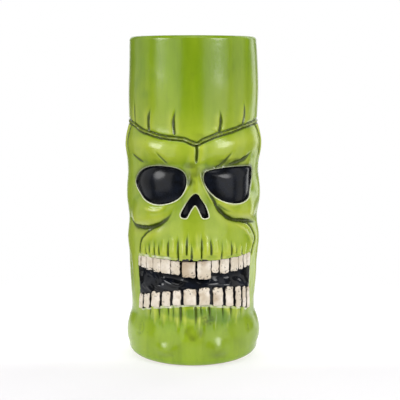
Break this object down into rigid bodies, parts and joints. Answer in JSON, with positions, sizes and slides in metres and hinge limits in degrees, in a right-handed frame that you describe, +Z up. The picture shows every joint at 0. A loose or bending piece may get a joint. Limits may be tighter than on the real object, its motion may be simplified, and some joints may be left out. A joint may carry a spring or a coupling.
{
  "type": "ceramic tiki mug",
  "caption": "Tall glazed ceramic drinking mug, a hollow cylinder with a carved skull face: domed eyes, open nose and a wide mouth with set teeth.",
  "frame": {"origin": "centre of the foot ring on the mug's own axis, at the level of the table it stands on", "axes": "+Z up along the mug's axis to the lip, -Y the way the face looks, +X to the right of a viewer who faces the mug"},
  "size_m": [0.0746, 0.0765, 0.178],
  "materials": {
    "green_glaze": "glossy translucent lime green glaze over earthenware, pooled dark olive in the carved lines",
    "black_glaze": "glossy black glaze",
    "ivory_glaze": "satin ivory glaze with brown and black specks along the edges"
  },
  "bodies": {
    "root": {"left_eye": "black_glaze", "lower_tooth_01": "ivory_glaze", "lower_tooth_02": "ivory_glaze", "lower_tooth_03": "ivory_glaze", "lower_tooth_04": "ivory_glaze", "lower_tooth_05": "ivory_glaze", "lower_tooth_06": "ivory_glaze", "lower_tooth_07": "ivory_glaze", "lower_tooth_08": "ivory_glaze", "lower_tooth_09": "ivory_glaze", "lower_tooth_10": "ivory_glaze", "lower_tooth_11": "ivory_glaze", "lower_tooth_12": "ivory_glaze", "mouth_lining": "black_glaze", "mug_body": "green_glaze", "nose_lining": "black_glaze", "right_eye": "black_glaze", "upper_tooth_01": "ivory_glaze", "upper_tooth_02": "ivory_glaze", "upper_tooth_03": "ivory_glaze", "upper_tooth_04": "ivory_glaze", "upper_tooth_05": "ivory_glaze", "upper_tooth_06": "ivory_glaze", "upper_tooth_07": "ivory_glaze", "upper_tooth_08": "ivory_glaze", "upper_tooth_09": "ivory_glaze", "upper_tooth_10": "ivory_glaze", "upper_tooth_11": "ivory_glaze", "upper_tooth_12": "ivory_glaze", "upper_tooth_13": "ivory_glaze", "upper_tooth_14": "ivory_glaze"}
  },
  "joints": []
}
